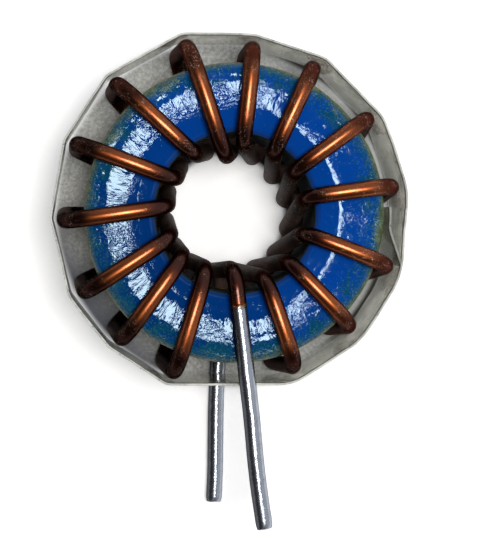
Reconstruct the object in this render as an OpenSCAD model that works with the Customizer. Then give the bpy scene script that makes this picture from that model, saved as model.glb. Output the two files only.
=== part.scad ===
// Toroidal inductor: a pressed powder ring core, wound by hand with one layer of enamelled wire.
// It lies on its back: the core's axis is Z, the floor is z = 0, and both leads run out towards -Y.

/* [Core] */
// Outside diameter of the painted ring
core_od = 27; // [23:0.5:33]
// Diameter of the hole through the ring
core_id = 14.3; // [12:0.1:17]
// Height of the ring along its axis
core_h = 11.1; // [8:0.1:16]
// Radius of the pressed corners, inside and outside
core_corner_r = 1.2; // [0.6:0.1:1.5]
// How much higher each face stands at its middle than a flat one would at its edges
core_crown = 0.3; // [0.1:0.05:0.5]

/* [Winding] */
// Outside diameter of the enamelled wire
wire_d = 1.5; // [1:0.05:1.8]
// Radius on the inside of each bend of the wire
bend_inner_r = 1.1; // [0.8:0.1:1.4]
// Gap between the wire and the core where a turn is pulled tight
wire_gap = 0.1; // [0.05:0.05:0.3]
// Runs of wire down the outside of the ring
outer_runs = 14; // [8:1:14]
// Angle left free between the last outer run and the first, where the leads pass
lead_gap_angle = 42.8; // [35:0.1:50]
// Angle of the first outer run, beside the front lead
first_run_angle = -111; // [-115:1:-105]
// How far each outer run leans back against the winding direction, from the front down to the back
outer_lean = 3; // [0:0.5:4]
// How far each crossing on the back leans between its bore run and its outer run
back_lean = 4; // [0:1:8]

/* [Leads] */
// Distance from the core's axis to the tip of the lead that leaves the front face
front_lead_reach = 28.2; // [24:0.1:40]
// Sideways place of the front lead's tip
front_lead_x = 2.5; // [0:0.1:4]
// Length of the front lead past its slight knee
front_lead_end = 7.2; // [6:0.1:12]
// Sideways place of the knee in the front lead
front_knee_x = 1.5; // [0:0.1:3]
// Distance from the core's axis to the tip of the lead that leaves the back face
rear_lead_reach = 27.5; // [24:0.1:40]
// Sideways place of the rear lead's tip
rear_lead_x = -1.2; // [-3:0.1:0]
// Length of the rear lead past its slight knee
rear_lead_end = 9; // [6:0.1:12]
// Sideways place of the knee in the rear lead
rear_knee_x = -1; // [-2:0.1:0]
// Depth scraped off the wire to bare the copper
scrape_depth = 0.1; // [0.05:0.05:0.15]
// Thickness of the solder on the bare copper
solder_t = 0.1; // [0.05:0.05:0.2]
// Length of each lead that is scraped and tinned
tinned_length = 20; // [13:0.1:21]
// Length of plain solder past the cut end of the copper
tin_tip = 0.3; // [0.1:0.1:0.6]

/* [Clear band] */
// Thickness of the plastic film
band_t = 0.3; // [0.15:0.05:0.5]
// Gap left between the film and each outer run it is pulled over
band_gap = 0.2; // [0.15:0.05:0.4]
// Gap between each edge of the band and the lead that passes it
band_edge_gap = 0.2; // [0.1:0.1:1]
// Length of the strip's inner end that lies flat against the core
tail_lie = 2; // [1:0.5:2.5]

/* [Hidden] */
$fn = 48;

// What hand winding leaves: degrees that each outer run strays from an even pitch and from the common
// lean, degrees that each crossing on the front leans, and mm that each outer run stands off the core
RUN_STRAY = [0, 3.5, 7.5, 7, 5, 5.5, 3.5, 6, 8.5, 6.5, 5, 0.5, -0.5, -0.5];
LEAN_STRAY = [0, 0, -0.5, -0.5, -4, -4.5, -5, -2, 1.5, 2.5, 2, 1.5, 2, 2];
FRONT_LEAN = [-7, -9, -8, -8, -5, -7, -5, 1, -4, 0, 3, 3, 2, 3];
OUTER_SLACK = [0.9, 0.8, 0.8, 0.9, 1, 1.2, 1.1, 0.4, 0.4, 0.2, 0, 0.1, 0.1, 0.4];

// The bore holds one run more. These are the mm that each one stands off the wall at its front end and
// at its back end. The first run goes on as the front lead, and the last as the rear lead.
BRINK_SLACK = [1.4, 0.7, 0.2, 0.1, 0.1, 0.1, 0, 1.2, 0.2, 0, 0, 0, 0, 0, 0];
FOOT_SLACK = [0.4, 0.5, 0.5, 0.5, 0.4, 0.1, 0.3, 0.5, 0.6, 1, 0.9, 0.5, 0.5, 0.6, 1.1];
FRONT_LEAD_ANGLE = -92;
REAR_LEAD_ANGLE = -96;
// How much rounder than the wire the film passes each outer run: 0 where it is taut, more where it
// hangs loose
BAND_ROLL = [0, 0, 0, 0, 0, 0, 0, 0, 1, 3, 6, 6, 5, 3];
BAND_BEND_STEPS = 4;
// The outer run that the strip's inner end leads out over, and how far ahead of it the end leaves the
// core, in degrees
TAIL_RUN = 11;
TAIL_LEAVE = 15;
// Radius of the knee in each lead
KNEE_R = 20;
// How much thinner each straight is drawn than the bends, and how far it reaches into them, so that the
// two join cleanly
STRAIGHT_EASE = 0.01;
STRAIGHT_REACH = 0.1;
// How far the bare copper reaches inside the enamelled wire
BARE_ROOT = 0.5;

bend_r = bend_inner_r + wire_d / 2;
bare_d = wire_d - 2 * scrape_depth;
tinned_d = bare_d + 2 * solder_t;
run_pitch = (360 - lead_gap_angle) / (outer_runs - 1);
back_z = wire_d / 2;
core_z = wire_d + wire_gap;
front_z = core_z + core_h + wire_gap + wire_d / 2;
bore_run_r = core_id / 2 - wire_gap - wire_d / 2;
outer_run_r = core_od / 2 + wire_gap + wire_d / 2;

function polar(r, a, z) = [r * cos(a), r * sin(a), z];
function unit(v) = v / norm(v);

function run_angle(k) = first_run_angle - run_pitch * k + RUN_STRAY[k];
function run_r(k) = outer_run_r + OUTER_SLACK[k];
function run_back_angle(k) = run_angle(k) - outer_lean - LEAN_STRAY[k];

function brink_r(j) = bore_run_r - BRINK_SLACK[j];
function foot_r(j) = bore_run_r - FOOT_SLACK[j];

// Angle between two wires that lie side by side in the bore, at radii r1 and r2
function abreast(r1, r2) = 2 * asin((wire_d + wire_gap) / (r1 + r2));

// Where bore run j starts at the front and ends at the back: where its turn leads it, or beside the
// run before it if the bore is crowded. How far an outer run strays from the common lean is taken up by
// its crossing on the back
function brink_angle(j) =
    j == 0 ? FRONT_LEAD_ANGLE :
    min(
        run_angle(j - 1) + FRONT_LEAN[j - 1],
        brink_angle(j - 1) - abreast(brink_r(j - 1), brink_r(j))
    );
function foot_angle(j) =
    j == 0 ? run_angle(0) - outer_lean + back_lean :
    j == outer_runs ? max(REAR_LEAD_ANGLE, foot_angle(0) + abreast(foot_r(0), foot_r(j))) :
    min(run_angle(j) - outer_lean + back_lean, foot_angle(j - 1) - abreast(foot_r(j - 1), foot_r(j)));

function brink(j) = polar(brink_r(j), brink_angle(j), front_z);
function foot(j) = polar(foot_r(j), foot_angle(j), back_z);

// One turn: up the outside, across the front, down the bore, as corners with a bend radius at each
function turn_points(k) =
    [
        [polar(run_r(k), run_back_angle(k), back_z), bend_r],
        [polar(run_r(k), run_angle(k), front_z), bend_r],
        [brink(k + 1), bend_r],
        [foot(k + 1), bend_r]
    ];

front_tip = [front_lead_x, -front_lead_reach, front_z];
front_knee = [front_knee_x, front_lead_end - front_lead_reach, front_z];
front_scrape = scrape_edge(front_tip, front_knee, brink(0));
rear_tip = [rear_lead_x, -rear_lead_reach, back_z];
rear_knee = [rear_knee_x, rear_lead_end - rear_lead_reach, back_z];
rear_scrape = scrape_edge(rear_tip, rear_knee, foot(outer_runs));

// Where the enamel ends, on the way from the knee to where the lead leaves the bore
function scrape_edge(tip, knee, root) = knee + unit(root - knee) * (tinned_length - norm(knee - tip));

// The scraped end of a lead as a path, cut short at the tip and drawn on past the scraped edge
function scraped_path(tip, knee, scrape, cut, past) = [
    [tip + unit(knee - tip) * cut, 0],
    [knee, KNEE_R],
    [scrape + unit(scrape - knee) * past, 0]
];

// The whole path of the enamelled wire, from one scraped end to the other
WIRE = concat(
    [[front_scrape, 0], [brink(0), bend_r], [foot(0), bend_r]],
    [for (k = [0:outer_runs - 1]) each turn_points(k)],
    [[rear_scrape, 0]]
);

// A bar along the line from a to b
module bar(a, b, d) {
    v = b - a;
    translate(a)
        rotate([0, acos(v.z / norm(v)), atan2(v.y, v.x)])
            cylinder(h = norm(v), d = d);
}

function corner_turn(a, p, b) = acos(unit(p - a) * unit(b - p));
function corner_setback(a, p, b, r) = r * tan(corner_turn(a, p, b) / 2);

// The bend of radius r that rounds the corner at p on the way from a to b
module bend(a, p, b, r, d) {
    turn = corner_turn(a, p, b);
    inward = unit(unit(a - p) + unit(b - p));
    centre = p + inward * r / cos(turn / 2);
    start = unit(p + unit(a - p) * corner_setback(a, p, b, r) - centre);
    travel = unit(p - a);
    normal = cross(start, travel);
    multmatrix([
        [start.x, travel.x, normal.x, centre.x],
        [start.y, travel.y, normal.y, centre.y],
        [start.z, travel.z, normal.z, centre.z]
    ])
        rotate_extrude(angle = turn)
            translate([r, 0])
                circle(d = d);
}

// A wire bent round each inner corner of a path of [point, bend radius] rows
module bent_wire(path, d) {
    last = len(path) - 1;
    setback = [
        for (i = [0:last])
            i == 0 || i == last ? 0 :
            corner_setback(path[i - 1][0], path[i][0], path[i + 1][0], path[i][1]) - STRAIGHT_REACH
    ];
    for (i = [0:last - 1]) {
        a = path[i][0];
        b = path[i + 1][0];
        along = unit(b - a);
        bar(a + along * setback[i], b - along * setback[i + 1], d - 2 * STRAIGHT_EASE);
    }
    for (i = [1:last - 1])
        bend(path[i - 1][0], path[i][0], path[i + 1][0], path[i][1], d);
}

// The ring's cross-section: crowned faces between rounded corners
module core_section() {
    wall = (core_od - core_id) / 2;
    inner = core_id / 2;
    r = core_corner_r;
    crown_r = (wall * wall / 4 + core_crown * core_crown) / (2 * core_crown);
    intersection() {
        union() {
            translate([inner + r, 0])
                square([wall - 2 * r, core_h]);
            translate([inner, r])
                square([wall, core_h - 2 * r]);
            for (x = [inner + r, inner + wall - r], z = [r, core_h - r])
                translate([x, z])
                    circle(r);
        }
        translate([inner + wall / 2, crown_r])
            circle(crown_r, $fn = 200);
        translate([inner + wall / 2, core_h - crown_r])
            circle(crown_r, $fn = 200);
    }
}

// Pressed powder ring, painted all over, with one face blue
module core() {
    color("#0b3f9e")
        translate([0, 0, core_z])
            rotate_extrude($fn = 120)
                core_section();
}

// One length of enamelled wire, with both ends scraped down to bare copper
module winding() {
    color("#9c5426")
        union() {
            bent_wire(WIRE, wire_d);
            bent_wire(scraped_path(front_tip, front_knee, front_scrape, tin_tip, BARE_ROOT), bare_d);
            bent_wire(scraped_path(rear_tip, rear_knee, rear_scrape, tin_tip, BARE_ROOT), bare_d);
        }
}

// Solder over a scraped end, from the edge of the enamel to the tip
module tinning(tip, knee, scrape) {
    difference() {
        bent_wire(scraped_path(tip, knee, scrape, 0, 0), tinned_d);
        bent_wire(scraped_path(tip, knee, scrape, tin_tip, 1), bare_d);
    }
}

module front_lead_tinning() {
    color("#c9ccd0")
        tinning(front_tip, front_knee, front_scrape);
}

module rear_lead_tinning() {
    color("#c9ccd0")
        tinning(rear_tip, rear_knee, rear_scrape);
}

// The film rolls round a post inside each outer run, and lies straight from one post to the next
function run_mid_angle(k) = (run_angle(k) + run_back_angle(k)) / 2;
function band_post(k) = polar(run_r(k) - BAND_ROLL[k], run_mid_angle(k), 0);
function band_post_r(k) = wire_d / 2 + band_gap + BAND_ROLL[k];

// Direction that the film faces between post i and post j, the next one counterclockwise
function band_facing(i, j) =
    let (step = band_post(j) - band_post(i))
    atan2(step.y, step.x) - 90 + asin((band_post_r(i) - band_post_r(j)) / norm(step));

// The film's outline at a distance outside its inner face
function band_outline(distance) = [
    for (k = [outer_runs - 1:-1:0])
        let (
            start = band_facing((k + 1) % outer_runs, k),
            end = band_facing(k, (k + outer_runs - 1) % outer_runs),
            sweep = ((end - start) % 360 + 360) % 360
        )
        for (i = [0:BAND_BEND_STEPS])
            band_post(k) + polar(band_post_r(k) + distance, start + sweep * i / BAND_BEND_STEPS, 0)
];

function flat(points) = [for (p = points) [p.x, p.y]];

// The strip's inner end: it starts flat against the core, then runs straight out over one turn
function tail_outline() =
    let (
        k = min(TAIL_RUN, outer_runs - 1),
        lie_r = core_od / 2 + band_gap,
        leave_angle = run_mid_angle(k) + TAIL_LEAVE,
        start_angle = leave_angle + 2 * asin(tail_lie / 2 / lie_r),
        start = polar(lie_r, start_angle, 0),
        leave = polar(lie_r, leave_angle, 0),
        way = polar(run_r(k), run_angle(k), 0) - leave,
        rise = asin((wire_d / 2 + band_gap) / norm(way)),
        facing = atan2(way.y, way.x) + rise + 90,
        end = leave + polar(norm(way) * cos(rise) + 2 * band_t, facing - 90, 0)
    )
    [
        start,
        leave,
        end,
        end + polar(band_t, facing, 0),
        leave + band_t * unit(polar(1, facing, 0) + polar(1, leave_angle, 0)),
        start + polar(band_t, start_angle, 0)
    ];

// Strip of clear film pulled round the outside of the turns, between the two leads
module clear_band() {
    foot_z = wire_d + band_edge_gap;
    top_z = front_z - wire_d / 2 - band_edge_gap;
    color("#8f8f80", 0.5)
        translate([0, 0, foot_z])
            linear_extrude(top_z - foot_z) {
                difference() {
                    polygon(flat(band_outline(band_t)));
                    polygon(flat(band_outline(0)));
                }
                intersection() {
                    polygon(flat(band_outline(band_t)));
                    polygon(flat(tail_outline()));
                }
            }
}

core();
winding();
front_lead_tinning();
rear_lead_tinning();
clear_band();
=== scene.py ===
import math

import bpy
import numpy as np
from mathutils import Matrix, Vector, noise


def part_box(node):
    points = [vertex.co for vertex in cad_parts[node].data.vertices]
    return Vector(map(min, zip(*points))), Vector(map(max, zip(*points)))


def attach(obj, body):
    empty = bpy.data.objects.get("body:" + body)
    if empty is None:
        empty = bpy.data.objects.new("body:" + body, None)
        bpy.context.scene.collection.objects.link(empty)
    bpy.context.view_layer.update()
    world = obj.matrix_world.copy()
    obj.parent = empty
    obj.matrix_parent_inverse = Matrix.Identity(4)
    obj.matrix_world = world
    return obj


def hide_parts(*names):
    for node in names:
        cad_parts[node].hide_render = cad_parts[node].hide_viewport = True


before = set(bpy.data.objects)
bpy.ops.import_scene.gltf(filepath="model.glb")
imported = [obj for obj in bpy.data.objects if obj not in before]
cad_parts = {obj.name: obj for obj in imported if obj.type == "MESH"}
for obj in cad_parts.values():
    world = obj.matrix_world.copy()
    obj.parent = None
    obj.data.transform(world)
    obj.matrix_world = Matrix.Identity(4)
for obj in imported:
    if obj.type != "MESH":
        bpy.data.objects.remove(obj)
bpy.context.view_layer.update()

# ---------------------------------------------------------------------------------------------------
# The core: a ring pressed from iron powder, with crowned faces and rounded corners. It is painted
# green all over, then sprayed blue on one face. The blue dries in ripples that catch the light in
# broken patches, and thins to speckle where it feathers off round the outer corner.
# ---------------------------------------------------------------------------------------------------
MM = 0.001
CORE_OD, CORE_ID, CORE_H = 27.0, 14.3, 11.1
CORE_CORNER_R, CORE_CROWN = 1.2, 0.3
CORE_FOOT_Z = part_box("core")[0].z / MM
CORE_TOP_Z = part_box("core")[1].z / MM
CORE_WALL = (CORE_OD - CORE_ID) / 2
RING_STEPS = 560
PAINT_BLUE = (0.001, 0.056, 0.33, 1)
# Blue darkened by painted shade, for the side of the face away from the lamp
PAINT_BLUE_SHADED = (0.0, 0.03, 0.15, 1)
PAINT_TEAL = (0.002, 0.065, 0.13, 1)
PAINT_GREEN = (0.14, 0.18, 0.075, 1)
PAINT_GREEN_DARK = (0.05, 0.065, 0.024, 1)
# Green darkened by painted shade, for the bore's wall
PAINT_GREEN_BORE_SHADED = (0.012, 0.014, 0.007, 1)
PAINT_PEPPER = (0.035, 0.13, 0.11, 1)
DUST = (0.14, 0.36, 0.5, 1)


def make_piece(name, points, faces, finish, uv=None):
    """A mesh piece from points in millimetres, riding with the rest of the coil."""
    mesh = bpy.data.meshes.new(name)
    mesh.from_pydata((np.asarray(points) * MM).tolist(), [], faces)
    if uv is not None:
        layer = mesh.uv_layers.new(name="along_and_round")
        layer.data.foreach_set("uv", np.asarray(uv, np.float32).ravel())
    mesh.polygons.foreach_set("use_smooth", [True] * len(mesh.polygons))
    mesh.materials.append(finish)
    mesh.validate()
    mesh.update()
    piece = bpy.data.objects.new(name, mesh)
    bpy.context.scene.collection.objects.link(piece)
    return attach(piece, "root")


def waver(point, spacing, seed):
    """Smooth unevenness from -1 to 1 that changes over about this many millimetres."""
    return noise.noise(Vector(point) / spacing + Vector((seed * 7.3, seed * 3.1, seed * 5.7)))


def clamped(value):
    return min(max(value, 0.0), 1.0)


def finish_of(name):
    finish = bpy.data.materials.new(name)
    finish.use_nodes = True
    return finish, finish.node_tree, finish.node_tree.nodes["Principled BSDF"]


def put(tree, kind, values, **settings):
    """A node with these settings, each named socket wired up or set."""
    node = tree.nodes.new("ShaderNode" + kind)
    for key, value in settings.items():
        setattr(node, key, value)
    for key, value in values.items():
        if isinstance(value, bpy.types.NodeSocket):
            tree.links.new(value, node.inputs[key])
        else:
            node.inputs[key].default_value = value
    return node


def sums(tree, operation, first, second=0.0, third=0.0):
    return put(tree, "Math", {0: first, 1: second, 2: third}, operation=operation).outputs[0]


def place_in_mm(tree):
    place = put(tree, "TexCoord", {}).outputs["Object"]
    return put(tree, "VectorMath", {0: place, "Scale": 1 / MM}, operation="SCALE").outputs[0]


def axes_of(tree, place):
    """Distance from the core's axis, height, and the two flat directions."""
    parts = put(tree, "SeparateXYZ", {0: place}).outputs
    flat = put(tree, "CombineXYZ", {"X": parts["X"], "Y": parts["Y"]}).outputs[0]
    radius = put(tree, "VectorMath", {0: flat}, operation="LENGTH").outputs["Value"]
    return radius, parts["Z"], parts["X"], parts["Y"]


def away_from_lamp(tree, x, y):
    """How many millimetres a place lies towards the side that the lamp and the bright wall leave dim."""
    return sums(tree, "ADD", sums(tree, "MULTIPLY", x, -0.8), sums(tree, "MULTIPLY", y, -0.6))


def grain(tree, place, spacing, detail=2.0, rough=0.5, twist=0.0):
    values = {"Vector": place, "Scale": 1 / spacing, "Detail": detail, "Roughness": rough,
              "Distortion": twist}
    return put(tree, "TexNoise", values).outputs["Fac"]


def rise(tree, value, low, high, start=0.0, end=1.0):
    """A smooth step from start to end as value goes from low to high."""
    values = {"Value": value, "From Min": low, "From Max": high, "To Min": start, "To Max": end}
    return put(tree, "MapRange", values, interpolation_type="SMOOTHSTEP").outputs["Result"]


def blend(tree, share, first, second):
    node = put(tree, "Mix", {}, data_type="RGBA")
    for socket, value in ((node.inputs[0], share), (node.inputs[6], first), (node.inputs[7], second)):
        if isinstance(value, bpy.types.NodeSocket):
            tree.links.new(value, socket)
        else:
            socket.default_value = value
    return node.outputs[2]


def relief(tree, height, depth, shader, normal="Normal", under=None):
    values = {"Height": height, "Distance": depth * MM, "Strength": 1.0}
    if under is not None:
        values["Normal"] = under
    bump = put(tree, "Bump", values).outputs[0]
    tree.links.new(bump, shader.inputs[normal])
    return bump


def crown(radius, angle):
    """How far the pressed face lies under its crest. The crest runs near the outside, but on one side
    it is a ridge nearer the bore."""
    off = radius - 11.2
    smooth = 0.898 - 0.25 * math.sqrt(off * off + 12.9)
    off = radius - 9.35
    ridge = 0.14 * (math.sqrt(off * off + 0.04) - 0.2) - 0.022 * off
    turn = (math.degrees(angle) - 8 + 180) % 360 - 180
    share = clamped((62 - abs(turn)) / 22 + 0.5)
    share = share * share * (3 - 2 * share)
    return smooth * (1 - share) - ridge * share


def ring_profile():
    """The ring's section as (radius, height) rows, close together on the face that shows most."""
    inner, r = CORE_ID / 2, CORE_CORNER_R
    crown_r = (CORE_WALL ** 2 / 4 + CORE_CROWN ** 2) / (2 * CORE_CROWN)

    def face(x):
        return CORE_CROWN - (crown_r - math.sqrt(crown_r ** 2 - (x - inner - CORE_WALL / 2) ** 2))

    def half(count_face, count_corner):
        rows = []
        for x in np.linspace(inner + r, inner + CORE_WALL - r, count_face):
            rows.append((x, CORE_H - CORE_CROWN + face(x)))
        for a in np.linspace(0, math.pi / 2, count_corner + 1)[1:]:
            x = inner + CORE_WALL - r + r * math.sin(a)
            top = min(CORE_H - r + r * math.cos(a), CORE_H - CORE_CROWN + face(min(x, inner + CORE_WALL)))
            rows.append((x, top))
        return rows

    outer_top = half(40, 18)
    middle = CORE_H / 2
    inner_top = [(2 * inner + CORE_WALL - x, z) for x, z in outer_top[40:]][::-1]
    side = [(inner + CORE_WALL, z) for z in np.linspace(CORE_H - r, r, 14)[1:-1]]
    bottom = [(x, 2 * middle - z) for x, z in (inner_top + outer_top)[::-1]]
    bore = [(inner, z) for z in np.linspace(r, CORE_H - r, 14)[1:-1]]
    return np.array(inner_top + outer_top + side + bottom + bore)


def core_mesh():
    profile = ring_profile()
    rows = len(profile)
    before, after = np.roll(profile, 1, 0), np.roll(profile, -1, 0)
    along = after - before
    along /= np.linalg.norm(along, axis=1)[:, None]
    outward = np.column_stack([-along[:, 1], along[:, 0]])
    points = []
    for i in range(RING_STEPS):
        angle = 2 * math.pi * i / RING_STEPS
        cos_a, sin_a = math.cos(angle), math.sin(angle)
        for (x, z), (nx, nz) in zip(profile, outward):
            spot = (x * cos_a, x * sin_a, z)
            swell = 0.014 * waver(spot, 3.4, 1) + 0.004 * waver(spot, 1.2, 2)
            flat_face = CORE_CROWN - CORE_CROWN * ((x - CORE_ID / 2 - CORE_WALL / 2) / (CORE_WALL / 2)) ** 2
            on_top = clamped((z - CORE_H + 1.0) / 0.5)
            sag = (crown(x, angle) - flat_face + CORE_CROWN) * on_top
            points.append(((x + nx * swell) * cos_a, (x + nx * swell) * sin_a,
                           CORE_FOOT_Z + z + nz * swell + sag))
    faces = []
    for i in range(RING_STEPS):
        here, there = i * rows, (i + 1) % RING_STEPS * rows
        for j in range(rows):
            k = (j + 1) % rows
            faces.append((here + j, here + k, there + k, there + j))
    return points, faces


def ring_paint():
    finish, tree, shader = finish_of("ring_paint")
    place = place_in_mm(tree)
    radius, height, x, y = axes_of(tree, place)
    fine = grain(tree, place, 0.15, 3.0, 0.65)
    patch = grain(tree, place, 2.4, 2.0)

    # How thin the blue is: thick on the face, thinner towards the outer corner, none on the walls
    corner = rise(tree, height, CORE_TOP_Z - 0.3, CORE_TOP_Z - 1.4)
    outward = sums(tree, "MAXIMUM", rise(tree, radius, 11.2, 13.3), corner)
    uneven = sums(tree, "MULTIPLY_ADD", patch, 1.1, sums(tree, "MULTIPLY_ADD", fine, 1.6, -1.22))
    thin = sums(tree, "MULTIPLY_ADD", outward, 0.25, corner)
    speckled = sums(tree, "MULTIPLY_ADD", uneven, outward, thin)
    mottle = rise(tree, grain(tree, place, 0.5, 4.0, 0.7), 0.35, 0.65)
    green = blend(tree, mottle, PAINT_GREEN_DARK, PAINT_GREEN)

    # Shade that is painted on: the bore's wall, and the side of the face away from the lamp
    in_bore = rise(tree, radius, 7.9, 7.2)
    green = blend(tree, in_bore, green, PAINT_GREEN_BORE_SHADED)
    dim = rise(tree, away_from_lamp(tree, x, y), -4.0, 10.0, 0.0, 0.85)
    blue = blend(tree, dim, PAINT_BLUE, PAINT_BLUE_SHADED)

    # Green showing through the blue, evenly, then in blots and in fine pepper
    sheer = rise(tree, sums(tree, "MULTIPLY_ADD", patch, outward, thin), 0.25, 0.95)
    blue = blend(tree, sheer, blue, PAINT_TEAL)
    murky = sums(tree, "MULTIPLY", rise(tree, radius, 11.0, 12.2),
                 rise(tree, grain(tree, place, 1.9, 4.0, 0.6, 0.5), 0.5, 0.57, 0.0, 0.85))
    blue = blend(tree, murky, blue, PAINT_TEAL)
    bare = rise(tree, speckled, 0.38, 0.62)
    pepper = sums(tree, "MULTIPLY", rise(tree, radius, 10.6, 12.4, 0.0, 0.85),
                  rise(tree, grain(tree, place, 0.16, 1.0), 0.58, 0.66))
    blue = blend(tree, pepper, blue, PAINT_PEPPER)
    colour = blend(tree, bare, blue, green)

    # Dust, and the pale scuffs on one side of the face
    specks = rise(tree, grain(tree, place, 0.12, 1.0), 0.73, 0.78)
    specks = sums(tree, "MULTIPLY", specks, rise(tree, grain(tree, place, 1.7, 2.0), 0.45, 0.65))
    scuff_spot = put(tree, "VectorMath", {0: place, 1: (12.1, -2.0, CORE_TOP_Z)}, operation="DISTANCE")
    scuffs = sums(tree, "MULTIPLY", rise(tree, scuff_spot.outputs["Value"], 5.5, 1.0),
                  rise(tree, grain(tree, place, 0.5, 5.0, 0.8), 0.54, 0.66))
    dirt = sums(tree, "MAXIMUM", specks, sums(tree, "MULTIPLY", scuffs, 0.5))
    colour = blend(tree, dirt, colour, DUST)
    tree.links.new(colour, shader.inputs["Base Color"])
    rough = rise(tree, bare, 0.0, 1.0, 0.045, 0.45)
    rough = sums(tree, "MAXIMUM", rough, sums(tree, "MULTIPLY", dirt, 0.35))
    rough = sums(tree, "MAXIMUM", rough, rise(tree, radius, 7.9, 7.2, 0.0, 0.9))
    tree.links.new(rough, shader.inputs["Roughness"])
    shader.inputs["IOR"].default_value = 1.45
    shader.inputs["Specular IOR Level"].default_value = 0.52
    shader.inputs["Specular Tint"].default_value = (0.66, 0.88, 1.0, 1)

    # Hairline wrinkles: combed across the face in some places, crazed like leather in the others
    flat = put(tree, "VectorMath", {0: put(tree, "CombineXYZ", {"X": x, "Y": y}).outputs[0]},
               operation="NORMALIZE").outputs[0]
    around = put(tree, "VectorMath", {0: flat, "Scale": 10.3}, operation="SCALE").outputs[0]
    parts = put(tree, "SeparateXYZ", {0: around}).outputs
    combed = put(tree, "CombineXYZ", {"X": parts["X"], "Y": parts["Y"],
                                      "Z": sums(tree, "MULTIPLY", radius, 0.3)}).outputs[0]

    def wrinkles(lie, spacing, twist):
        off = sums(tree, "SUBTRACT", grain(tree, lie, spacing, 2.5, 0.6, twist), 0.5)
        return rise(tree, sums(tree, "ABSOLUTE", off), 0.0, 0.07)

    where = rise(tree, grain(tree, place, 3.6, 1.0), 0.46, 0.54)
    mixed = sums(tree, "ADD", sums(tree, "MULTIPLY", wrinkles(combed, 0.75, 0.6), where),
                 sums(tree, "MULTIPLY", wrinkles(place, 0.6, 1.0), sums(tree, "SUBTRACT", 1.0, where)))
    crest = sums(tree, "MULTIPLY", rise(tree, radius, 8.9, 9.8), rise(tree, radius, 12.3, 11.5))
    calm_side = put(tree, "VectorMath", {0: place, 1: (13.5, 1.5, CORE_TOP_Z)}, operation="DISTANCE")
    calm = rise(tree, calm_side.outputs["Value"], 7.5, 10.5, 0.62, 1.0)
    calm = sums(tree, "MAXIMUM", calm, rise(tree, radius, 10.1, 9.8, 0.0, 0.9))
    crest = sums(tree, "MULTIPLY", crest, calm)
    mixed = sums(tree, "MULTIPLY", mixed, sums(tree, "MULTIPLY_ADD", crest, 0.88, 0.12))
    crazed = grain(tree, place, 0.45, 2.0, 0.5, 0.4)
    crinkle = blend(tree, where, crazed, grain(tree, combed, 0.48, 2.0, 0.5, 0.6))
    crinkle = sums(tree, "MULTIPLY", crinkle, rise(tree, grain(tree, place, 2.1, 1.0), 0.3, 0.6, 8.0, 15.0))
    mixed = sums(tree, "MULTIPLY_ADD", crinkle, crest, mixed)
    waves = grain(tree, place, 1.3, 2.0, 0.5)
    skin = sums(tree, "MULTIPLY_ADD", waves, 3.0, mixed)
    rippled = sums(tree, "MULTIPLY", rise(tree, radius, 11.2, 12.2),
                   rise(tree, grain(tree, place, 2.8, 1.0), 0.4, 0.56))
    ripple = grain(tree, combed, 0.32, 1.5, 0.5, 0.8)
    skin = sums(tree, "MULTIPLY_ADD", ripple, sums(tree, "MULTIPLY", rippled, 8.0), skin)
    skin = sums(tree, "MULTIPLY_ADD", fine, sums(tree, "MULTIPLY", bare, 1.2), skin)
    relief(tree, skin, 0.0065, shader)
    return finish


core = make_piece("core_ring", *core_mesh(), ring_paint())
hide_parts("core")

# ---------------------------------------------------------------------------------------------------
# The winding: one length of thick copper wire under brown enamel, pulled through the ring by hand
# turn by turn. Every crossing arches a little over the face, and the runs crowd together in the bore.
# ---------------------------------------------------------------------------------------------------
WIRE_D = 1.5
WIRE_BEND_R = 1.85
FRONT_Z = CORE_TOP_Z + 0.85
BACK_Z = WIRE_D / 2
WIRE_STEP = 0.3
WIRE_SIDES = 28
# How many steps at the start of the wire lie flat, where it leaves as the front lead
FLAT_STEPS = 30
# Each row is (angle in degrees, radius in mm) of a run of wire, in the order that it is wound. An outer
# run also has how far it leans back on its way from the front to the back, in degrees.
OUTER_RUNS = [
    (-111, 15.25, 3), (-131.9, 15.15, 3), (-152.3, 15.15, 2.5), (-177.2, 15.25, 2.5), (-203.6, 15.35, -1),
    (-227.5, 15.55, -1.5), (-253.9, 15.45, -2), (-275.8, 14.75, 1), (-297.7, 14.75, 4.5),
    (-324.1, 14.55, 5.5), (-350, 14.35, 5), (-378.9, 14.45, 4.5), (-404.3, 14.45, 5), (-428.7, 14.75, 5)]
BORE_FRONTS = [
    (-92, 4.9), (-118, 5.6), (-140.9, 6.1), (-160.3, 6.2), (-185.2, 6.2), (-208.6, 6.2), (-234.5, 6.3),
    (-258.9, 5.1), (-275.3, 6.1), (-301.7, 6.3), (-324.1, 6.3), (-347, 6.3), (-375.9, 6.3),
    (-402.3, 6.3), (-425.7, 6.3)]
BORE_BACKS = [
    (-110, 5.9), (-130.9, 5.8), (-151.3, 5.8), (-176.2, 5.8), (-202.6, 5.9), (-226.5, 6.2), (-252.9, 6),
    (-274.8, 5.8), (-296.7, 5.7), (-323.1, 5.3), (-349, 5.4), (-377.9, 5.8), (-403.3, 5.8),
    (-427.7, 5.7), (-93.4, 5.2)]
FRONT_SCRAPE = (0.186, -8.337)
REAR_SCRAPE = (-0.431, -7.517)
ARCH, ARCH_SINK = 0.6, 0.24
ENAMEL = (0.36, 0.1, 0.024, 1)
ENAMEL_RED = (0.17, 0.036, 0.009, 1)
# Painted shade for the outer turns: on the lamp's side, then on the side away from it
ENAMEL_OUTER_SHADE = (0.075, 0.02, 0.01, 1)
ENAMEL_OUTER_DEEP_SHADE = (0.02, 0.007, 0.005, 1)
ENAMEL_SHADE = (0.06, 0.014, 0.007, 1)
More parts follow.
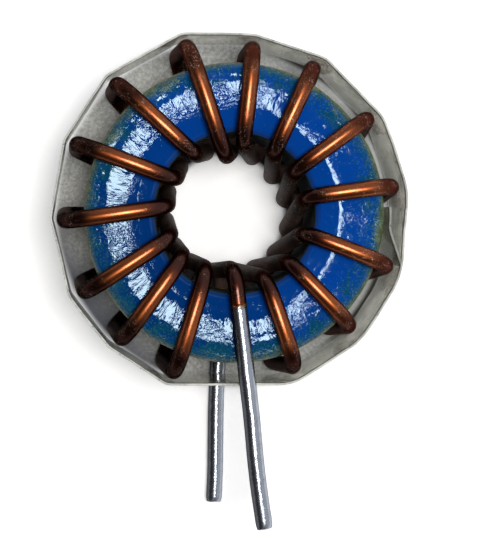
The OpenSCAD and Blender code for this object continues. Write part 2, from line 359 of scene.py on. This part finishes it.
# Painted shade for the runs in the bore, and the lighter tone painted at their foot as if lit from the
# sheet below
ENAMEL_BORE_SHADE = (0.026, 0.015, 0.012, 1)
ENAMEL_BORE_FOOT_LIGHTER = (0.11, 0.068, 0.056, 1)
WIRE_DUST = (0.5, 0.42, 0.34, 1)


def polar(angle, radius, z):
    return [radius * math.cos(math.radians(angle)), radius * math.sin(math.radians(angle)), z]


def unit(v):
    return v / np.linalg.norm(v)


def bent(corners, bend_r, step):
    """Points along a path of straights, with every corner rounded to the bend radius."""
    corners = np.array(corners, float)
    path = [corners[0]]
    for before, corner, after in zip(corners, corners[1:], corners[2:]):
        into, out = unit(corner - before), unit(after - corner)
        turn = math.acos(np.clip(into @ out, -1, 1))
        centre = corner + unit(out - into) * bend_r / math.cos(turn / 2)
        start = unit(corner - into * bend_r * math.tan(turn / 2) - centre)
        for a in np.linspace(0, turn, max(3, int(turn * bend_r / step))):
            path.append(centre + bend_r * (start * math.cos(a) + into * math.sin(a)))
    return evened(np.vstack([path, corners[-1]]), step)


def evened(path, step):
    """The same path in equal steps."""
    reach = np.concatenate([[0], np.cumsum(np.linalg.norm(np.diff(path, axis=0), axis=1))])
    count = max(4, int(round(reach[-1] / step)))
    at = np.linspace(0, reach[-1], count + 1)
    return np.column_stack([np.interp(at, reach, path[:, i]) for i in range(3)])


def eased(path, width):
    """The path with its turns eased over about this many points, its ends kept."""
    reach = int(3 * width)
    weights = np.exp(-np.arange(-reach, reach + 1) ** 2 / (2 * width ** 2))
    weights /= weights.sum()
    padded = np.vstack([2 * path[0] - path[reach:0:-1], path, 2 * path[-1] - path[-2:-reach - 2:-1]])
    return np.column_stack([np.convolve(padded[:, i], weights, "valid") for i in range(3)])


def tube(path, radii, sides):
    """A closed tube along a path. radii has one row for each point and one column for each side."""
    along = np.gradient(path, axis=0)
    along /= np.linalg.norm(along, axis=1)[:, None]
    side = unit(np.cross(along[0], (0.3, 0.2, 1.0)))
    rings = []
    turn = 2 * math.pi * np.arange(sides) / sides
    for i, (point, way) in enumerate(zip(path, along)):
        side = unit(side - way * (side @ way))
        up = np.cross(way, side)
        spread = np.outer(np.cos(turn), side) + np.outer(np.sin(turn), up)
        rings.append(point + spread * np.asarray(radii[i]).reshape(-1, 1))
    points = np.vstack(rings + [path[:1], path[-1:]])
    reach = np.concatenate([[0], np.cumsum(np.linalg.norm(np.diff(path, axis=0), axis=1))])
    faces, uv = [], []
    for i in range(len(path) - 1):
        for j in range(sides):
            k = (j + 1) % sides
            faces.append((i * sides + j, i * sides + k, (i + 1) * sides + k, (i + 1) * sides + j))
            u, v = (reach[i], reach[i + 1]), (j / sides, (j + 1) / sides)
            uv += [(u[0], v[0]), (u[0], v[1]), (u[1], v[1]), (u[1], v[0])]
    first, last = len(path) * sides, len(path) * sides + 1
    rim = (len(path) - 1) * sides
    for j in range(sides):
        k = (j + 1) % sides
        faces += [(first, k, j), (last, rim + j, rim + k)]
        uv += [(0, 0)] * 3 + [(reach[-1], 0)] * 3
    return points, faces, uv


def wire_corners():
    corners = [FRONT_SCRAPE + (FRONT_Z,), polar(*BORE_FRONTS[0], FRONT_Z), polar(*BORE_BACKS[0], BACK_Z)]
    for (angle, radius, lean), front, back in zip(OUTER_RUNS, BORE_FRONTS[1:], BORE_BACKS[1:]):
        corners += [polar(angle - lean, radius, BACK_Z), polar(angle, radius, FRONT_Z),
                    polar(*front, FRONT_Z), polar(*back, BACK_Z)]
    return corners + [REAR_SCRAPE + (BACK_Z,)]


def wire_path():
    path = eased(bent(wire_corners(), WIRE_BEND_R, WIRE_STEP), 1.3)
    for i, (x, y, z) in enumerate(path):
        across = (math.hypot(x, y) - BORE_FRONTS[1][1]) / (OUTER_RUNS[0][1] - BORE_FRONTS[1][1])
        bow = max(0.0, math.sin(math.pi * clamped(across))) ** 1.1
        lift = ARCH * bow - ARCH_SINK
        front = clamped((z - FRONT_Z + 1.5) / 1.5)
        tight = clamped((math.hypot(x, y) - 6.0) / 2.0)
        path[i, 2] += lift * front * tight if i > FLAT_STEPS else 0.0
        path[i] += [0.03 * waver((x, y, z), 6.0, 3), 0.03 * waver((x, y, z), 6.0, 4), 0.0]
    return path


def enamel():
    finish, tree, shader = finish_of("enamelled_copper")
    place = place_in_mm(tree)
    radius, height, x, y = axes_of(tree, place)
    along = put(tree, "UVMap", {}, uv_map="along_and_round").outputs[0]
    drawn = put(tree, "VectorMath", {0: along, 1: (0.35, 9.0, 0.0)}, operation="MULTIPLY").outputs[0]
    streaks = grain(tree, drawn, 1.0, 3.0, 0.6)
    cloud = grain(tree, place, 1.3, 3.0, 0.6)
    inner = rise(tree, sums(tree, "MULTIPLY_ADD", cloud, 0.8, radius), 9.8, 7.4)
    deep = sums(tree, "MULTIPLY", inner, rise(tree, height, FRONT_Z + 0.1, FRONT_Z - 1.4))
    dull_and_shaded = rise(tree, sums(tree, "MULTIPLY_ADD", cloud, 1.6, radius), 12.2, 14.8)
    colour = blend(tree, rise(tree, streaks, 0.3, 0.75, 0.0, 0.6), ENAMEL, ENAMEL_RED)

    # Shade that is painted on: the outer turns, darkest on the side away from the lamp, and the runs in
    # the bore, least of all at their foot. The enamel of the outer turns is also rougher, with a thinner
    # coat
    side = sums(tree, "MULTIPLY_ADD", x, 0.8, sums(tree, "MULTIPLY", y, 0.6))
    ends = blend(tree, rise(tree, side, -9.0, 9.0), ENAMEL_OUTER_DEEP_SHADE, ENAMEL_OUTER_SHADE)
    colour = blend(tree, dull_and_shaded, colour, ends)
    colour = blend(tree, inner, colour, ENAMEL_SHADE)
    low = rise(tree, height, FRONT_Z - 1.5, FRONT_Z - 7.0)
    colour = blend(tree, deep, colour, blend(tree, low, ENAMEL_BORE_SHADE, ENAMEL_BORE_FOOT_LIGHTER))

    # Dust
    specks = rise(tree, grain(tree, place, 0.12, 1.0), 0.62, 0.67)
    specks = sums(tree, "MULTIPLY", specks, rise(tree, grain(tree, place, 1.1, 2.0), 0.42, 0.6))
    specks = sums(tree, "MULTIPLY", specks, rise(tree, side, -10.0, 8.0, 0.3, 1.0))
    colour = blend(tree, sums(tree, "MULTIPLY", specks, 0.85), colour, WIRE_DUST)
    tree.links.new(colour, shader.inputs["Base Color"])
    rough = sums(tree, "MULTIPLY_ADD", streaks, 0.12, 0.26)
    rough = sums(tree, "MULTIPLY_ADD", dull_and_shaded, 0.12, rough)
    rough = sums(tree, "MULTIPLY_ADD", specks, 0.3, rough)
    rough = sums(tree, "MULTIPLY_ADD", deep, 0.3, rough)
    tree.links.new(rough, shader.inputs["Roughness"])
    tree.links.new(rise(tree, deep, 0.3, 1.0, 1.0, 0.0), shader.inputs["Metallic"])
    shader.inputs["Specular IOR Level"].default_value = 0.08
    shader.inputs["Specular Tint"].default_value = (0.3, 0.13, 0.09, 1)
    worn = sums(tree, "MAXIMUM", deep, sums(tree, "MULTIPLY", dull_and_shaded, 0.7))
    tree.links.new(rise(tree, worn, 0.2, 0.9, 0.4, 0.0), shader.inputs["Coat Weight"])
    shader.inputs["Coat Roughness"].default_value = 0.2
    shader.inputs["Coat IOR"].default_value = 1.5
    shader.inputs["Coat Tint"].default_value = (0.85, 0.6, 0.42, 1)
    skin = sums(tree, "MULTIPLY_ADD", grain(tree, place, 0.35, 3.0, 0.6), 0.6, streaks)
    skin = sums(tree, "MULTIPLY_ADD", specks, 0.8, skin)
    relief(tree, skin, 0.006, shader)
    return finish


wire = wire_path()
wire_points, wire_faces, wire_uv = tube(wire, [[WIRE_D / 2]] * len(wire), WIRE_SIDES)
winding = make_piece("winding_wire", wire_points, wire_faces, enamel(), wire_uv)
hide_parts("winding")

# ---------------------------------------------------------------------------------------------------
# The leads: the two ends of the wire, scraped to bare copper and dipped in solder. The solder starts
# at a ragged, flux-stained lip on the enamel, runs a little uneven, and ends where the wire is snipped.
# ---------------------------------------------------------------------------------------------------
TIN_SIDES = 40
TIN_STEP = 0.14
# Radius of the scraped copper where the coat begins, and of the coat
SCRAPED_R, COAT_R = 0.7, 0.752
COAT_LIP = 0.55
SOLDER = (0.41, 0.44, 0.49, 1)
FLUX = (0.2, 0.12, 0.04, 1)
SOLDER_CLOUD = (0.28, 0.29, 0.33, 1)
SOLDER_PIT = (0.12, 0.12, 0.12, 1)
SOLDER_SHADE = (0.09, 0.092, 0.1, 1)
FRONT_LEAD = [(0.1, -7.6), FRONT_SCRAPE, (0.66, -12.4), (1.12, -16.4), (1.37, -18.5), (1.54, -20.6),
              (1.74, -22.8), (2.01, -24.9), (2.35, -27.1), (2.5, -28.2)]
REAR_LEAD = [(-0.4, -6.8), REAR_SCRAPE, (-0.72, -12.5), (-0.98, -17.5), (-1.03, -20.5), (-1.05, -23.5),
             (-1.1, -25.5), (-1.2, -27.5)]


def lead_path(places, z):
    points = np.array([(x, y, z) for x, y in places], float)
    return eased(evened(points, TIN_STEP), 9.0)


def tinned_lead(name, node, places, z, slant, seed):
    path = lead_path(places, z)
    length = TIN_STEP * (len(path) - 1)
    radii = np.zeros((len(path), TIN_SIDES))
    for i, point in enumerate(path):
        s = i * TIN_STEP
        for j in range(TIN_SIDES):
            a = 2 * math.pi * j / TIN_SIDES
            spot = (point[0] + 0.75 * math.cos(a), point[1], 0.75 * math.sin(a) + seed)
            ragged = 0.16 * waver((math.cos(a), math.sin(a), seed), 0.5, seed)
            edge = COAT_LIP + 0.22 * math.cos(a - slant) + ragged
            cover = clamped((s - edge) / 0.16)
            wall = COAT_R + 0.012 * waver(spot, 1.6, seed) + 0.006 * waver(spot, 0.5, seed + 1)
            wall += 0.03 * math.exp(-((s - edge - 0.2) / 0.22) ** 2)
            left = length - s
            pinch = max(0.0, 1.0 - left / 0.5)
            wall *= 1.0 - 0.22 * pinch ** 1.5 * abs(math.sin(a + 0.5)) ** 2
            radii[i, j] = SCRAPED_R + (wall - SCRAPED_R) * cover * cover * (3 - 2 * cover)
    points, faces, uv = tube(path, radii, TIN_SIDES)
    rim = len(points) - 2 - TIN_SIDES
    for j in range(TIN_SIDES):
        points[rim + j, 1] -= 0.05 * waver((j * 0.4, seed, 0), 1.0, seed) - 0.02
    piece = make_piece(name, points, faces, solder, uv)
    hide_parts(node)
    return piece


def solder_coat():
    finish, tree, shader = finish_of("solder_coat")
    place = place_in_mm(tree)
    along = put(tree, "UVMap", {}, uv_map="along_and_round").outputs[0]
    parts = put(tree, "SeparateXYZ", {0: along}).outputs
    drawn = put(tree, "VectorMath", {0: along, 1: (0.5, 7.0, 0.0)}, operation="MULTIPLY").outputs[0]
    streaks = grain(tree, drawn, 1.0, 3.0, 0.6)
    cloud = grain(tree, place, 0.7, 3.0, 0.6)
    flux = rise(tree, sums(tree, "MULTIPLY_ADD", cloud, 0.9, parts["X"]), 1.5, 1.1)
    pits = rise(tree, grain(tree, place, 0.12, 2.0), 0.34, 0.28)
    colour = blend(tree, rise(tree, cloud, 0.3, 0.75, 0.0, 0.5), SOLDER, SOLDER_CLOUD)
    colour = blend(tree, pits, colour, SOLDER_PIT)

    # Shade that is painted on: the side of each lead that faces away from the lamp
    facing = put(tree, "SeparateXYZ", {0: put(tree, "TexCoord", {}).outputs["Normal"]}).outputs["X"]
    dim = rise(tree, sums(tree, "MULTIPLY_ADD", cloud, -0.4, facing), -0.5, -0.95)
    colour = blend(tree, dim, colour, SOLDER_SHADE)
    colour = blend(tree, flux, colour, FLUX)
    tree.links.new(colour, shader.inputs["Base Color"])
    rough = sums(tree, "MULTIPLY_ADD", cloud, 0.25, 0.13)
    rough = sums(tree, "MAXIMUM", rough, sums(tree, "MULTIPLY", sums(tree, "MAXIMUM", flux, pits), 0.5))
    tree.links.new(rough, shader.inputs["Roughness"])
    shader.inputs["Metallic"].default_value = 1.0
    shader.inputs["Specular Tint"].default_value = (0.34, 0.35, 0.4, 1)
    skin = sums(tree, "MULTIPLY_ADD", grain(tree, place, 0.3, 3.0, 0.6), 1.2, streaks)
    skin = sums(tree, "MULTIPLY_ADD", cloud, 2.5, skin)
    relief(tree, skin, 0.01, shader)
    return finish


solder = solder_coat()
tinned_lead("front_lead_tin", "front_lead_tinning", FRONT_LEAD, FRONT_Z, 0.6, 1)
tinned_lead("rear_lead_tin", "rear_lead_tinning", REAR_LEAD, BACK_Z + 0.04, 2.0, 2)

# ---------------------------------------------------------------------------------------------------
# The band: a strip of clear plastic film pulled round the outside of the turns, its inner end against
# the core. It hangs looser on one side, and dust and solder smoke have turned it a murky grey-green.
# ---------------------------------------------------------------------------------------------------
BAND_T = 0.3
FILM_T = 0.2
BAND_GAP = 0.2
BAND_FOOT_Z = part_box("clear_band")[0].z / MM
BAND_TOP_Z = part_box("clear_band")[1].z / MM
# How much rounder than the wire the film passes each outer run
BAND_ROLL = [0, 0, 0, 0, 0, 0, 0, 0, 1, 3, 6, 6, 5, 3]
BAND_STEP = 0.3
BAND_ROWS = 22
TAIL = [(13.69, 0.53), (13.72, -0.5), (13.62, -1.47), (14.15, -3.1), (14.72, -4.85)]
FILM = (0.78, 0.77, 0.68, 1)
FILM_EDGE = (0.9, 0.9, 0.85, 1)
FILM_END = (0.5, 0.5, 0.47, 1)
FILM_SMOKE = (0.26, 0.27, 0.2, 1)
FILM_SPECK = (0.08, 0.075, 0.05, 1)
FILM_BURN = (0.12, 0.08, 0.04, 1)


def band_line():
    """The film's inner face in plan, rolled round a post inside each outer run."""
    posts = [np.array(polar(angle - lean / 2, radius - roll, 0.0))
             for (angle, radius, lean), roll in zip(OUTER_RUNS, BAND_ROLL)]
    post_r = [WIRE_D / 2 + BAND_GAP + roll for roll in BAND_ROLL]
    count = len(posts)

    def facing(i, j):
        way = posts[j] - posts[i]
        slant = math.asin((post_r[i] - post_r[j]) / np.linalg.norm(way))
        return math.atan2(way[1], way[0]) - math.pi / 2 + slant

    line = []
    for k in range(count - 1, -1, -1):
        start, end = facing((k + 1) % count, k), facing(k, k - 1)
        for a in np.linspace(start, start + (end - start) % (2 * math.pi), 8):
            line.append(posts[k] + post_r[k] * np.array((math.cos(a), math.sin(a), 0)))
    return evened(np.array(line + line[:1]), BAND_STEP)[:-1]


def film_mesh(line, closed, foot_z, top_z, seed):
    """A strip of film standing on its edge along a line, its two cut edges a second finish."""
    count = len(line)
    ahead, behind = np.roll(line, -1, 0), np.roll(line, 1, 0)
    if not closed:
        ahead[-1], behind[0] = line[-1], line[0]
    way = ahead - behind
    out = np.column_stack([way[:, 1], -way[:, 0], np.zeros(count)])
    out /= np.linalg.norm(out, axis=1)[:, None]
    edge = 0.03
    section = [(0, t) for t in np.linspace(0, 1, BAND_ROWS)]
    section += [(0.25, 1), (0.75, 1)] + [(1, t) for t in np.linspace(1, 0, BAND_ROWS)]
    section += [(0.75, 0), (0.25, 0)]
    points = []
    for i in range(count):
        x, y, _ = line[i]
        for across, up in section:
            crest = abs(2 * up - 1)
            spot = (x, y, up * 3)
            around = math.degrees(math.atan2(y, x))
            slack = 0.3 * math.exp(-((around + 42) / 22) ** 2) + 0.2 * math.exp(-((around + 148) / 16) ** 2)
            lean = slack + 0.07 * crest ** 3
            lean = lean + 0.07 * waver(spot, 5.0, seed) + 0.025 * waver(spot, 1.6, seed + 1)
            nibble = 0.05 * waver((x, y, 0), 2.2, seed + 2) + 0.02 * waver((x, y, 0), 0.7, seed + 3)
            round_off = edge if across in (0, 1) and up in (0, 1) else 0.0
            z = foot_z + (top_z - foot_z) * up + (2 * up - 1) * (nibble - round_off - 0.05)
            place = line[i] + out[i] * (BAND_T - FILM_T + FILM_T * across + lean)
            points.append((place[0], place[1], z))
    rows = len(section)
    faces, kinds = [], []
    for i in range(count if closed else count - 1):
        here, there = i * rows, (i + 1) % count * rows
        for j in range(rows):
            k = (j + 1) % rows
            faces.append((here + j, here + k, there + k, there + j))
            kinds.append(int(BAND_ROWS - 1 <= j < BAND_ROWS + 2 or j >= 2 * BAND_ROWS + 1))
    if not closed:
        faces += [tuple(range(rows - 1, -1, -1)), tuple(range((count - 1) * rows, count * rows))]
        kinds += [1, 1]
    return points, faces, kinds


def clear_film(name, colour, clear, rough_low, rough_high):
    finish, tree, shader = finish_of(name)
    place = place_in_mm(tree)
    upright = put(tree, "VectorMath", {0: place, 1: (1.0, 1.0, 0.3)}, operation="MULTIPLY").outputs[0]
    cloud = grain(tree, upright, 2.2, 4.0, 0.65)
    fine = grain(tree, place, 0.22, 3.0, 0.6)
    tint = blend(tree, rise(tree, cloud, 0.3, 0.75), colour, tuple(c * 0.6 for c in colour[:3]) + (1,))
    smoke = rise(tree, grain(tree, upright, 1.2, 4.0, 0.7, 0.4), 0.4, 0.75)
    tint = blend(tree, sums(tree, "MULTIPLY", smoke, 0.6), tint, FILM_SMOKE)
    specks = rise(tree, grain(tree, upright, 0.25, 2.0, 0.6), 0.6, 0.68)
    specks = sums(tree, "MULTIPLY", specks, rise(tree, grain(tree, place, 2.6, 2.0), 0.42, 0.58))
    tint = blend(tree, sums(tree, "MULTIPLY", specks, 0.85), tint, FILM_SPECK)
    burn = put(tree, "VectorMath", {0: place, 1: (-15.6, 2.9, 11.6)}, operation="DISTANCE").outputs["Value"]
    burnt = rise(tree, sums(tree, "MULTIPLY_ADD", fine, 0.8, burn), 1.25, 0.6)
    tint = blend(tree, burnt, tint, FILM_BURN)
    tree.links.new(tint, shader.inputs["Base Color"])
    tree.links.new(rise(tree, cloud, 0.25, 0.8, rough_low, rough_high), shader.inputs["Roughness"])
    murk = sums(tree, "MAXIMUM", sums(tree, "MULTIPLY", specks, 0.7), sums(tree, "MULTIPLY", smoke, 0.2))
    tree.links.new(sums(tree, "MULTIPLY_ADD", murk, -clear, clear), shader.inputs["Transmission Weight"])
    shader.inputs["IOR"].default_value = 1.25
    skin = sums(tree, "MULTIPLY_ADD", grain(tree, place, 1.1, 2.0), 5.0, fine)
    relief(tree, skin, 0.0015, shader)
    return finish


def film_piece(name, line, closed, foot_z, top_z, seed):
    points, faces, kinds = film_mesh(line, closed, foot_z, top_z, seed)
    piece = make_piece(name, points, faces, film)
    piece.data.materials.append(film_edge if closed else film_end)
    piece.data.polygons.foreach_set("material_index", kinds)
    return piece


film = clear_film("clear_film", FILM, 0.96, 0.05, 0.2)
film_edge = clear_film("cut_film_edge", FILM_EDGE, 0.2, 0.35, 0.5)
film_end = clear_film("cut_film_end", FILM_END, 0.2, 0.35, 0.5)
band = film_piece("film_band", band_line(), True, BAND_FOOT_Z, BAND_TOP_Z, 5)
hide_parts("clear_band")
tail_line = eased(evened(np.array([(x, y, 0.0) for x, y in TAIL]), 0.12), 3.0)[::-1]
tail = film_piece("film_band_end", tail_line, False, BAND_FOOT_Z + 0.1, BAND_TOP_Z - 0.15, 8)
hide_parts("clear_band")

# ---------------------------------------------------------------------------------------------------
# The set: a white sheet under one soft lamp, above and a little to the right. The sheet isn't plain:
# under and round the coil a shadow is painted on it in greys, which tone what shows through the film.
# The room is bright on the lamp's side, pale in a strip where the sheet ends, nearly black overhead.
# ---------------------------------------------------------------------------------------------------
LAMP_SIZE = (0.28, 0.34)
LAMP_HEIGHT = 1.05
LAMP_PLACE = (0.083, 0.03)
LAMP_POWER = 8.0
PAPER = (0.93, 0.93, 0.93, 1)
PAPER_TOOTH = (0.9, 0.9, 0.9, 1)
# Greys of the shadow painted on the sheet under and round the coil
GREY_DARK = (0.38, 0.38, 0.36, 1)
GREY_LIGHT = (0.66, 0.66, 0.64, 1)
GREY_RIGHT = (0.7, 0.7, 0.67, 1)
GREY_CRESCENT = (0.04, 0.04, 0.033, 1)
GREY_DIM = (0.14, 0.15, 0.18, 1)
GREY_BORE = (0.03, 0.03, 0.03, 1)
LAMP_WHITE = (1.0, 0.98, 0.95)
WALL_DIM = (0.05, 0.05, 0.057, 1)
WALL_BRIGHT = (0.66, 0.7, 0.76, 1)
FOOT_DIM = (0.05, 0.05, 0.055, 1)
FOOT_BRIGHT = (0.4, 0.43, 0.49, 1)
PALE = (0.98, 0.98, 0.98, 1)
OVERHEAD = (0.012, 0.013, 0.016, 1)


def paper_floor():
    finish, tree, shader = finish_of("white_paper")
    place = place_in_mm(tree)
    tooth = grain(tree, place, 0.6, 3.0, 0.6)
    radius, _, x, y = axes_of(tree, place)
    away = put(tree, "VectorMath", {0: place, 1: (0.45, 0.0, 0.0)}, operation="DISTANCE").outputs["Value"]
    paper = blend(tree, tooth, PAPER, PAPER_TOOTH)

    # The painted shadow, in greys: mottled, lighter to the right, a dark crescent past the film there,
    # dim on the side away from the lamp, and nearly black under the runs in the bore
    under = sums(tree, "MULTIPLY", rise(tree, radius, 5.2, 6.0), rise(tree, away, 17.0, 16.1))
    mottle = rise(tree, grain(tree, place, 0.35, 4.0, 0.75), 0.35, 0.68)
    grey = blend(tree, mottle, GREY_DARK, GREY_LIGHT)
    right = sums(tree, "MULTIPLY_ADD", y, 0.2, x)
    grey = blend(tree, rise(tree, right, 5.0, 12.0, 0.0, 0.6), grey, GREY_RIGHT)
    crescent = sums(tree, "MULTIPLY", rise(tree, radius, 15.3, 15.8), rise(tree, right, 4.0, 10.0))
    grey = blend(tree, crescent, grey, GREY_CRESCENT)
    grey = blend(tree, rise(tree, away_from_lamp(tree, x, y), 11.5, 16.0), grey, GREY_DIM)
    grey = blend(tree, rise(tree, radius, 12.0, 9.0), grey, GREY_BORE)
    paper = blend(tree, under, paper, grey)
    tree.links.new(paper, shader.inputs["Base Color"])
    shader.inputs["Roughness"].default_value = 0.9
    shader.inputs["Specular IOR Level"].default_value = 0.1
    relief(tree, tooth, 0.05, shader)

    # The sheet shows as white, but not where the shadow is painted on it
    rays = put(tree, "LightPath", {}).outputs
    seen = sums(tree, "MAXIMUM", rays["Is Camera Ray"], rays["Is Glossy Ray"])
    seen = sums(tree, "MAXIMUM", seen, rays["Is Transmission Ray"])
    shader.inputs["Emission Color"].default_value = (1, 1, 1, 1)
    glow = rise(tree, radius, 100.0, 1200.0, 0.35, 0.85)
    glow = sums(tree, "MULTIPLY", glow, sums(tree, "SUBTRACT", 1.0, under))
    tree.links.new(sums(tree, "MULTIPLY", seen, glow), shader.inputs["Emission Strength"])
    return finish


def aim(thing, place, target):
    way = Vector(target) - Vector(place)
    thing.matrix_world = Matrix.Translation(place) @ way.to_track_quat("-Z", "Y").to_matrix().to_4x4()


floor_mesh = bpy.data.meshes.new("paper")
floor_mesh.from_pydata([(-3, -3, 0), (3, -3, 0), (3, 3, 0), (-3, 3, 0)], [], [(0, 1, 2, 3)])
floor_mesh.materials.append(paper_floor())
floor = bpy.data.objects.new("paper", floor_mesh)
floor.location.z = -0.00002
bpy.context.scene.collection.objects.link(floor)

lamp_data = bpy.data.lights.new("soft_lamp", "AREA")
lamp_data.shape = "RECTANGLE"
lamp_data.size = LAMP_SIZE[0]
lamp_data.size_y = LAMP_SIZE[1]
lamp_data.energy = LAMP_POWER
lamp_data.color = LAMP_WHITE
lamp = bpy.data.objects.new("soft_lamp", lamp_data)
bpy.context.scene.collection.objects.link(lamp)
aim(lamp, (LAMP_PLACE[0], LAMP_PLACE[1], LAMP_HEIGHT), (0, 0, 0))

world = bpy.data.worlds.new("room")
world.use_nodes = True
bpy.context.scene.world = world
room = world.node_tree
backdrop = room.nodes["Background"]
parts = put(room, "SeparateXYZ", {0: put(room, "TexCoord", {}).outputs["Generated"]}).outputs
bright_side = sums(room, "MULTIPLY_ADD", parts["X"], 0.8, sums(room, "MULTIPLY", parts["Y"], 0.6))
bright_side = rise(room, bright_side, -0.35, 0.6)
walls = blend(room, bright_side, WALL_DIM, WALL_BRIGHT)
foot = blend(room, bright_side, FOOT_DIM, FOOT_BRIGHT)
walls = blend(room, rise(room, parts["Z"], 0.4, 0.15), walls, foot)
walls = blend(room, rise(room, parts["Z"], 0.19, 0.16), walls, PALE)
walls = blend(room, rise(room, parts["Z"], 0.78, 0.93), walls, OVERHEAD)
room.links.new(walls, backdrop.inputs["Color"])
backdrop.inputs["Strength"].default_value = 1.0

scene = bpy.context.scene
scene.view_settings.view_transform = "Standard"
camera_data = bpy.data.cameras.new("camera")
camera_data.lens = 132.92
camera_data.sensor_width = 36.0
camera_data.clip_start = 0.01
camera_data.clip_end = 20.0
camera = bpy.data.objects.new("camera", camera_data)
bpy.context.scene.collection.objects.link(camera)
camera.matrix_world = Matrix((
    (0.996383, 0.0024437, -0.0849379, -0.014056),
    (0.0, 0.999586, 0.028758, -0.000178),
    (0.084973, -0.028654, 0.995971, 0.192235),
    (0, 0, 0, 1)))
scene.camera = camera
